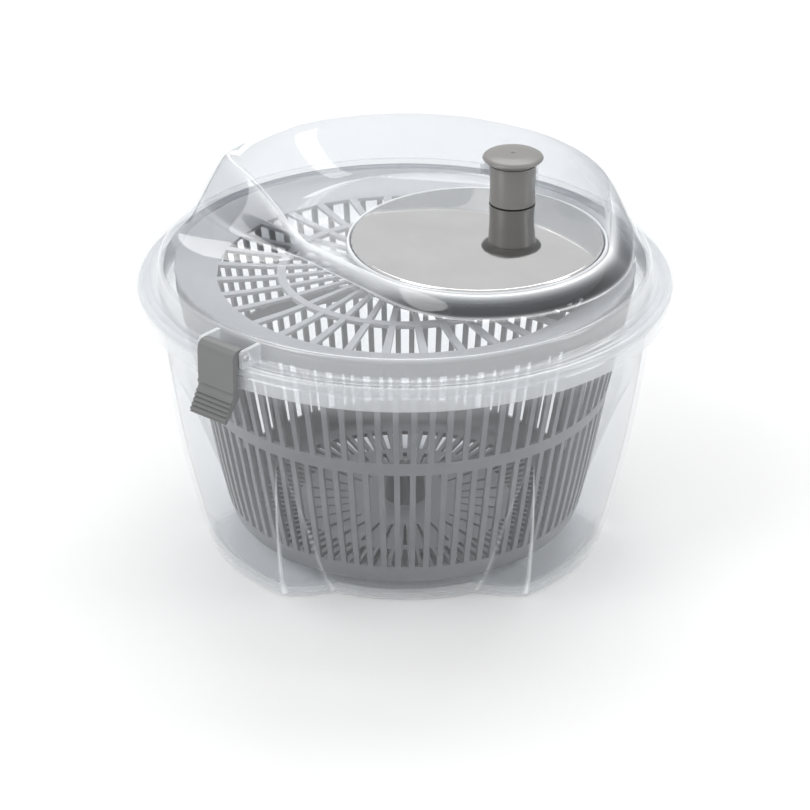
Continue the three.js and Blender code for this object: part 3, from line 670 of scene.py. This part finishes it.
def basket():
    """The slotted basket: rows of (outer r, z), (inner r, z), first hub to lower tier, then the upper one."""
    low = BASKET_LOW
    lower = [
        ((0, 28.8), (0, 30.8)),
        ((7.5, 28.8), (9, 30.8)),
        ((8.3, 28.2), (10.2, 29.9)),
        ((8.3, low + 0.8), (10.9, low + 3.6)),
        ((9, low), (12.6, low + 2.4)),
        ((22, low), (22, low + 2.4)),
        ((30, low), (30, low + 2.4)),
        ((52, low), (52, low + 2.4)),
        ((57, low), (57, low + 2.4)),
        ((78, low), (78, low + 2.4)),
        ((84, low), (83.2, low + 2.5)),
        ((87.4, low + 0.8), (86.4, low + 3.1)),
        ((90.4, low + 2.4), (88.9, low + 4.6)),
        ((92.4, low + 5), (90.5, low + 6.8)),
        ((94.4, low + 10), (92.3, low + 10.2)),
        ((95.3, 23.5), (93.2, 23.5)),
        ((98.6, 38), (96.5, 38)),
        ((101.4, 52), (99.3, 52)),
        ((104.3, 68), (102.2, 68)),
        ((107, 83), (104.9, 83)),
        ((107.4, 85.2), (105.3, 85.2)),
    ]
    upper = [
        ((108.1, 88.2), (106, 88.2)),
        ((108.5, 90.5), (106.4, 90.5)),
        ((111, 102), (108.9, 102)),
        ((113.8, 116), (111.7, 116)),
        ((116.6, 130), (114.5, 130)),
        ((119, 144), (116.9, 144)),
        ((119.4, 145), (116.5, 145)),
        ((BASKET_R, 145.6), (116.4, 146)),
        ((BASKET_R, BASKET_TOP - 0.7), (116.4, BASKET_TOP - 0.6)),
        ((BASKET_R - 0.6, BASKET_TOP), (117, BASKET_TOP)),
    ]

    def lower_open(row, slot):
        (r0, z0), (r1, z1) = lower[row][0], lower[row + 1][0]
        if (r0, r1) == (30, 52):  # the floor's inner ring of slots: every third one
            return slot % 3 == 0
        if (r0, r1) == (57, 78):  # the floor's outer ring
            return True
        return z0 >= 23.5 and z1 <= 83

    def upper_open(row, slot):
        z0 = upper[row][0][1]
        z1 = upper[row + 1][0][1]
        return z0 >= 90.5 and z1 <= 144

    shape = Shape()
    low_start, low_rows, low_count = basket_tier(shape, lower, LOWER_SLOTS, lower_open)
    up_start, up_rows, up_count = basket_tier(shape, upper, UPPER_SLOTS, upper_open)
    low_angles = slot_angles(lower[-1][0][0], LOWER_SLOTS, SLOT_BAR)
    up_angles = slot_angles(upper[0][0][0], UPPER_SLOTS, SLOT_BAR)
    low_out = low_start + (low_rows - 1) * low_count
    low_in = low_out + low_rows * low_count
    up_out = up_start
    up_in = up_start + up_rows * up_count
    # Where the two tiers meet, the lattices' end faces give way to zips between their different counts.
    shape.drop_rings([(low_out, low_in, low_count), (up_out, up_in, up_count)])
    zip_loops(shape, low_out, low_count, up_out, up_count, low_angles, up_angles, False)
    zip_loops(shape, low_in, low_count, up_in, up_count, low_angles, up_angles, True)
    piece = make_piece("basket_fine", shape, "basket", ["basket"], BASKET_GREY, 30)
    soften(piece, 0.35, 2, 50)


# ---------------------------------------------------------------- basket cover

def basket_cover():
    """The dished grille, with two rings of slots between its bars and a hexagonal hole for the driver."""
    # Radius, height of the upper face, height of the lower face, width of a bar there.
    rows = [
        (0, 149.5, COVER_LOW, None),
        (12.8, 149.5, COVER_LOW, None),
        (13.1, 149.2, COVER_LOW + 0.4, None),
        (13.5, 149.1, 147.5, None),
        (23.4, 149.5, 147.5, None),
        (24, 149.4, 147.5, 2.2),
        (30, 149.3, 147.4, 2.35),
        (44, 148.7, 146.9, 2.75),
        (62.3, 147.3, 145.5, 3.2),
        (62.6, 147.6, 145.2, 3.2),
        (66.6, 147.6, 145.2, 3.3),
        (66.9, 147.3, 145.4, 3.3),
        (82, 146.9, 145.1, 3.9),
        (98, 147, 145.1, COVER_BAR),
        (98.5, 147.3, 145, COVER_BAR),
        (104, 148.9, 146.9, COVER_BAR),
        (112, 151.5, 149.4, COVER_BAR),
        (113.4, 152, 148, COVER_BAR),
        (115.6, 152.9, 148, COVER_BAR),
        (116, 153.1, 150.9, COVER_BAR),
        (118, 153.9, 151, COVER_BAR),
        (119.2, COVER_TOP, 151.2, COVER_BAR),
        (120, COVER_TOP - 0.7, 151.6, COVER_BAR),
    ]
    pitch = 2 * math.pi / SPOKES
    upper = []
    lower = []
    for r, z, z_low, width in rows:
        half = pitch * 0.2 if width is None else math.asin(width / 2 / r)
        middles = -math.pi / 2 + (np.arange(SPOKES) + 0.5) * pitch
        angles = np.column_stack([middles - half, middles + half]).ravel()
        reach = np.full(len(angles), float(r))
        if r == 0:
            sixth = math.pi / 3
            reach = HEX_FLAT / np.cos((angles % sixth) - sixth / 2)
        plan = np.column_stack([reach * np.cos(angles), reach * np.sin(angles)])
        upper.append(np.column_stack([plan, np.full(len(angles), z)]))
        lower.append(np.column_stack([plan, np.full(len(angles), z_low)]))

    def solid(row, column):
        if column % 2 == 0:
            return True
        r0 = rows[row][0]
        r1 = rows[row + 1][0]
        in_inner_slots = r0 >= 24 and r1 <= 62.3
        in_outer_slots = r0 >= 66.9 and r1 <= 98
        return not (in_inner_slots or in_outer_slots)

    shape = Shape()
    shape.lattice(upper, lower, solid)
    piece = make_piece("cover_grille", shape, "cover", ["basket_cover"], COVER_GREY, 30)
    soften(piece, 0.3, 2, 50)


# ---------------------------------------------------------------- lid

LID_ANGLES = np.arange(LID_STEPS) * 2 * math.pi / LID_STEPS
LID_DEGREES = (np.degrees(LID_ANGLES) + 100) % 360 - 100


def reach_of_circle(x, y, r):
    """How far from the crank axis, at each of the lid's angles, a circle lies."""
    from_x = CRANK_X - x
    along = from_x * np.cos(LID_ANGLES) - y * np.sin(LID_ANGLES)
    return -along + np.sqrt(along ** 2 - from_x ** 2 - y ** 2 + r * r)


def lid_loop(reach, z):
    """A loop round the crank axis, by its reach and height at each of the lid's angles."""
    reach = np.broadcast_to(reach, LID_STEPS)
    z = np.broadcast_to(z, LID_STEPS)
    return np.column_stack([CRANK_X + reach * np.cos(LID_ANGLES), reach * np.sin(LID_ANGLES), z])


def lid_plan():
    """Reach of the recess floor's edge, the crest and the outer foot, and how much each angle is dome."""
    dome = smoothstep(LID_DEGREES, *DOME_RISE) * (1 - smoothstep(LID_DEGREES, *DOME_FALL))
    circle_reach = reach_of_circle(0, 0, CREST_R)
    facing = np.cos(np.radians(LID_DEGREES - RIDGE_NORMAL))
    line = RIDGE_R / np.maximum(facing, 0.05)
    crest = np.where(facing > 0.05, smooth_min(line, circle_reach, 10), circle_reach)
    in_front = (LID_DEGREES <= 0) | (LID_DEGREES >= RIDGE_NORMAL)
    crest = np.where(in_front, RIDGE_R, crest)
    widening = (SHELF - SHELF_NARROW) * smoothstep(LID_DEGREES, 220, 265)
    shelf = np.where(LID_DEGREES < 90, SHELF, SHELF_NARROW + widening)
    foot = (crest + shelf) * (1 - dome) + reach_of_circle(0, 0, DOME_FOOT_R) * dome
    back = reach_of_circle(*HOLLOW)
    floor_edge = -smooth_min(-back, -(LIP_R + 0.5), 3)
    floor_edge = smooth_min(floor_edge, crest - 1.2, 3)
    return floor_edge, crest, foot, dome


def lid_loops():
    """The recess's wall up to the crest and the outer wall down to the foot."""
    floor_edge, crest, foot, dome = lid_plan()
    crest_z = RIDGE_Z + (CREST_Z - RIDGE_Z) * dome
    foot_z = DECK_Z + (DOME_FOOT_Z - DECK_Z) * dome
    loops = []
    for step in np.linspace(0, 1, WALL_STEPS):
        reach = floor_edge + (crest - floor_edge) * step
        loops.append(lid_loop(reach, RECESS_Z + (crest_z - RECESS_Z) * smoothstep(step, 0, 1)))
    for step in np.linspace(1, 0, WALL_STEPS + 1)[1:]:
        reach = foot + (crest - foot) * step
        rise_front = float(smoothstep(step, 0, 1))
        rise_back = 1 - (1 - step) ** 1.35
        rise = rise_front * (1 - dome) + rise_back * dome
        loops.append(lid_loop(reach, foot_z + (crest_z - foot_z) * rise))
    return loops


def lid_looks():
    """Haze and painted light of each of lid_loops: painted highlights on the crest and at the foot, painted
    shade on the walls beside the low ridge.
    """
    floor_edge, crest, foot, dome = lid_plan()
    low = 1 - dome
    crest_highlight = 0.72 * low + 0.06 * dome
    looks = []
    for step in np.linspace(0, 1, WALL_STEPS):
        from_crest = (crest - floor_edge) * (1 - step)
        bright = np.exp(-(from_crest / 3.2) ** 2)
        looks.append((0.16 * (1 - step) + bright * crest_highlight, 0.24 * low * (1 - bright)))
    for step in np.linspace(1, 0, WALL_STEPS + 1)[1:]:
        from_crest = np.abs(foot - crest) * (1 - step)
        bright = np.exp(-(from_crest / 3.6) ** 2)
        near_foot = math.exp(-((step - FOOT_STEP) / 0.06) ** 2)
        haze_and_highlight = bright * crest_highlight + near_foot * 0.35 * low
        painted_shade = 0.95 * low * (1 - bright) * (1 - near_foot) * min(step / FOOT_STEP, 1)
        looks.append((haze_and_highlight, painted_shade))
    return looks


def underside(loops, thickness, deepest):
    """The same loops dropped by the wall's thickness, more where the wall is steep."""
    stack = np.array(loops)
    steps = np.gradient(stack, axis=0)
    run = np.hypot(steps[:, :, 0], steps[:, :, 1]) + 1e-6
    drop = np.minimum(thickness * np.hypot(1, steps[:, :, 2] / run), deepest)
    stack[:, :, 2] -= drop
    return list(stack)


def lid_shell():
    """The clear lid: recess, ridge and dome, deck, rim and underside as one skin, and the latches' ears."""

    def ring(r, z):
        return lid_loop(reach_of_circle(0, 0, r), z)

    bottom = PARTING + 0.15
    recess = [
        lid_loop(7, RECESS_Z),
        lid_loop(40, RECESS_Z),
        lid_loop(LIP_R - 2.2, RECESS_Z),
        lid_loop(LIP_R - 1.7, RECESS_Z + 0.4),
        lid_loop(LIP_R - 1.5, RECESS_Z + 3),
        lid_loop(LIP_R - 1.1, RECESS_Z + 3.5),
        lid_loop(LIP_R - 0.6, RECESS_Z + 3.5),
        lid_loop(LIP_R - 0.2, RECESS_Z + 3.1),
        lid_loop(LIP_R, RECESS_Z + 0.5),
        lid_loop(LIP_R + 0.3, RECESS_Z),
    ]
    walls = lid_loops()
    deck = [ring(124.8, DECK_Z + 0.45), ring(126.4, DECK_Z + 0.5)]
    rim = [
        (127.4, DECK_Z + 0.2),
        (128, DECK_Z - 0.5),
        (128.4, DECK_Z - 2),
        (128.9, PARTING + 6.3),
        (129.3, PARTING + 5.5),
        (130.2, PARTING + 5.1),
        (132.6, PARTING + 5),
        (133.1, PARTING + 4.75),
        (133.6, PARTING + 5),
        (136.2, PARTING + 5),
        (136.8, PARTING + 4.6),
        (137.4, PARTING + 4.75),
        (138.6, PARTING + 4.5),
        (139.6, PARTING + 3.9),
        (LID_R - 0.1, PARTING + 3),
        (LID_R, PARTING + 2),
        (LID_R - 0.15, PARTING + 0.7),
        (LID_R - 0.6, bottom),
        (FLANGE_R - 1.3, bottom),
        (FLANGE_R - 1.7, bottom + 0.4),
        (FLANGE_R - 1.9, PARTING + 2.3),
        (FLANGE_R - 2.6, PARTING + 2.7),
        (BOWL_MOUTH_R + 0.2, PARTING + 2.7),
        (BOWL_MOUTH_R - 0.6, PARTING + 2),
        (BOWL_MOUTH_R - 0.6, PARTING - 3),
        (BOWL_MOUTH_R - 1, PARTING - 3.5),
        (BOWL_MOUTH_R - 2.2, PARTING - 3.5),
        (BOWL_MOUTH_R - 2.6, PARTING - 3),
        (BOWL_MOUTH_R - 2.6, DECK_Z - 3.4),
        (BOWL_MOUTH_R - 3, DECK_Z - 2.3),
    ]
    below = underside(walls + deck[:1], LID_T, 9)[::-1]
    under_recess = [lid_loop(r, RECESS_Z - LID_T) for r in (LIP_R + 0.3, 40, 7)]
    # Haze, painted highlights and painted shade of the recess with its lip painted as a highlight, walls,
    # deck, rim with a little painted shade, skirt inside the bowl painted in shade, underside.
    looks = [(0.16, 0.0)] * 4 + [(0.7, 0.0)] * 4 + [(0.2, 0.0)] * 2
    looks += lid_looks()
    looks += [(0.02, 0.0), (0.25, 0.0)]
    looks += [(0.42, 0.05)] * 6 + [(0.34, 0.03)] * 6 + [(0.45, 0.05)] * 6
    looks += [(0.0, 0.36)] * (len(rim) - 18)
    looks += [(0.0, 0.0)] * (len(below) + len(under_recess))
    shape = Shape()
    shape.skin(recess + walls + deck + [ring(r, z) for r, z in rim] + below + under_recess, True, looks)
    for side in ("front", "back"):
        add_ears(shape, latch_angle(side))
    make_piece("lid_clear", shape, "lid", ["lid_shell"], CLEAR, 45)


def latch_angle(side):
    """The way a latch faces, from where its pin is."""
    pin = middle_of(f"latch_pin_{side}")
    return math.atan2(pin.y, pin.x)


def add_ears(shape, angle):
    """Two upright plates of the lid that hold a latch's pin between them."""
    corners = [(128, 147.2), (141, 147.4), (141.2, 155.4), (139.8, 156.8), (127.2, 156.8)]
    outline = fillet(corners, 0.6, 3)
    for offset in EAR_OFFSETS:
        shape.extrude(outline, offset, offset + EAR_T, standing_at(angle), 0.45)


# ---------------------------------------------------------------- crank disc and knob

def crank_disc():
    """The turning disc, with a rounded edge."""
    shape = Shape()
    profile = [(0, DISC_LOW), (DISC_R - 1, DISC_LOW)]
    profile += [(DISC_R - 0.3, DISC_LOW + 0.2), (DISC_R, DISC_LOW + 0.7), (DISC_R, DISC_TOP - 1)]
    for step in np.linspace(0, 1, 6)[1:]:
        bend = step * math.pi / 2
        profile.append((DISC_R - 1 + math.cos(bend), DISC_TOP - 1 + math.sin(bend)))
    profile += [(DISC_R - 3, DISC_TOP - 0.04), (DISC_R - 3.4, DISC_TOP), (30, DISC_TOP), (0, DISC_TOP)]
    turn(shape, profile, 192, (CRANK.x, CRANK.y))
    make_piece("crank_disc_fine", shape, "crank", ["crank_disc"], DISC_METAL, 50)


def knob():
    """The waisted sleeve and the flared cap on it."""
    centre = (KNOB.x, KNOB.y)
    base = bottom_of("knob_sleeve")
    top = top_of("knob_sleeve")
    r = reach_of("knob_sleeve")
    sleeve = Shape()
    outside = smooth_path([(r - 0.3, base + 0.6), (r - 0.55, base + 6), (r - 0.5, base + 12), (r, top)], 6)
    profile = [(4, base), (r - 0.7, base), (r - 0.25, base + 0.15), *outside]
    profile += [(6, top), (6, top - 2), (4, top - 2)]
    turn(sleeve, profile, 96, centre, True)
    make_piece("knob_sleeve_fine", sleeve, "knob", ["knob_sleeve"], KNOB_GREY, 40)

    cap = Shape()
    low = bottom_of("knob_cap")
    high = top_of("knob_cap")
    wide = reach_of("knob_cap")
    under = smooth_path([(r - 0.1, low + 0.1), (r + 0.5, low + 0.9), (wide - 1.3, low + 1.9)], 6)
    edge = smooth_path([(wide - 0.5, low + 2.3), (wide, low + 3), (wide - 0.5, low + 3.8)], 5)
    crown = smooth_path([(wide - 1.6, low + 4.5), (9, high - 0.25), (3, high)], 7)
    profile = [(0, low), (r - 0.5, low), *under, *edge, *crown]
    # The small dimple in the middle of the cap.
    profile += [(1.6, high - 0.05), (1, high - 0.5), (0.5, high - 1), (0, high - 1.1)]
    turn(cap, profile, 96, centre)
    make_piece("knob_cap_fine", cap, "knob", ["knob_cap"], KNOB_GREY, 45)


# ---------------------------------------------------------------- latches

def latch_outline():
    """Section of the latch: distance from the spinner's axis, and height."""
    hook = [(134.8, 150.6), (134.6, 153.6), (136, 156.2), (138.6, 157.2), (142, 157), (144.2, 155.4)]
    front = [(145, 152.4), (145, 136.6), (145.6, 135.8), (145.6, 134.8), (145, 134), (145.1, 132.6)]
    ribs = []
    for k in range(LATCH_RIBS):
        out = 146.1 + 1.15 * k
        down = 131 - 2.05 * k
        ribs += [(out - 0.2, down + 0.35), (out + 0.9, down - 0.3)]
        ribs += [(out + 0.95, down - 0.9), (out + 0.2, down - 1.5)]
    tip = [(151.9, 120.6), (150.6, 120)]
    back = [(147.4, 123.4), (143.6, 128.6), (140.4, 131.6), (140.4, 134.4), (141.6, 135.8), (141.6, 147.4)]
    back += [(140, 149.4), (137, 148.8)]
    return fillet(hook + front + ribs + tip + back, 0.5, 3)


def latch(side):
    """One latch, its section drawn out sideways."""
    node = f"latch_{side}"
    shape = Shape()
    shape.extrude(latch_outline(), -LATCH_HALF_WIDTH, LATCH_HALF_WIDTH, standing_at(latch_angle(side)))
    piece = make_piece(f"{node}_fine", shape, node, [node], LATCH_GREY, 35)
    soften(piece, 0.6, 3, 60)


# ---------------------------------------------------------------- the frame's own nodes

def finish_frame_nodes():
    """Materials of nodes on the CAD nodes that no piece replaces; those not named here are steel."""
    finishes = {
        "bowl_pivot": STEEL,
        "basket_bearing": NYLON,
        "gear_box": BOX_GREY,
        "gear_cover_plate": BOX_GREY,
        "drive_dog": BOX_GREY,
        "spindle_bushing": NYLON,
        "pinion_bushing": NYLON,
        "crank_gear": NYLON,
        "drive_pinion": NYLON,
    }
    replaced = {"outer_bowl", "basket", "basket_cover", "lid_shell", "crank_disc", "knob_sleeve", "knob_cap"}
    replaced |= {"latch_front", "latch_back"}
    for name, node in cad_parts.items():
        if name in replaced:
            continue
        node.data.materials.clear()
        node.data.materials.append(finishes.get(name, STEEL))


# ---------------------------------------------------------------- studio

def studio():
    """A pale floor, a white world and three soft lamps."""
    floor = bpy.data.meshes.new("floor")
    reach = 6.0
    corners = [(-reach, -reach, 0), (reach, -reach, 0), (reach, reach, 0), (-reach, reach, 0)]
    floor.from_pydata(corners, [], [(0, 1, 2, 3)])
    ground = bpy.data.objects.new("floor", floor)
    bpy.context.scene.collection.objects.link(ground)
    nodes = Nodes("floor_paint")
    shader = nodes.add("ShaderNodeBsdfPrincipled")
    nodes.join(nodes.shades(nodes.noise(3, 2), grey(0.8), grey(0.82)), shader.inputs["Base Color"])
    shader.inputs["Roughness"].default_value = 0.7
    nodes.join(shader.outputs["BSDF"], nodes.out.inputs["Surface"])
    floor.materials.append(nodes.material)

    world = bpy.data.worlds.new("studio")
    bpy.context.scene.world = world
    world.use_nodes = True
    background = world.node_tree.nodes["Background"]
    background.inputs["Color"].default_value = (1, 1, 1, 1)
    background.inputs["Strength"].default_value = 0.85

    def lamp(name, place, size, power, target=(0, 0, 0.1)):
        data = bpy.data.lights.new(name, "AREA")
        data.shape = "RECTANGLE"
        data.size, data.size_y = size
        data.energy = power
        holder = bpy.data.objects.new(name, data)
        bpy.context.scene.collection.objects.link(holder)
        holder.location = place
        holder.rotation_euler = (Vector(target) - Vector(place)).to_track_quat("-Z", "Y").to_euler()

    lamp("key_left", (-1.3, -0.7, 1.5), (0.9, 1.4), 14)
    lamp("top_back", (0.2, 1.2, 1.7), (1.6, 0.8), 16)
    lamp("fill_right", (1.6, -0.3, 0.9), (0.5, 1.2), 6)


def camera():
    """A long lens, a little above the rim, in front of the spinner."""
    elevation = math.radians(24.8)
    distance = 1.7
    lens_pitch = math.radians(27.04)
    data = bpy.data.cameras.new("camera")
    data.lens = 144.7
    data.sensor_width = 36
    holder = bpy.data.objects.new("camera", data)
    bpy.context.scene.collection.objects.link(holder)
    rise = PARTING * MM + distance * math.sin(elevation)
    holder.location = (0, -distance * math.cos(elevation), rise)
    holder.rotation_euler = (math.pi / 2 - lens_pitch, 0, 0)
    bpy.context.scene.camera = holder


camera()
studio()
outer_bowl()
basket()
basket_cover()
lid_shell()
crank_disc()
knob()
latch("front")
latch("back")
finish_frame_nodes()
bpy.context.scene.view_settings.view_transform = "Standard"

bpy.context.view_layer.update()
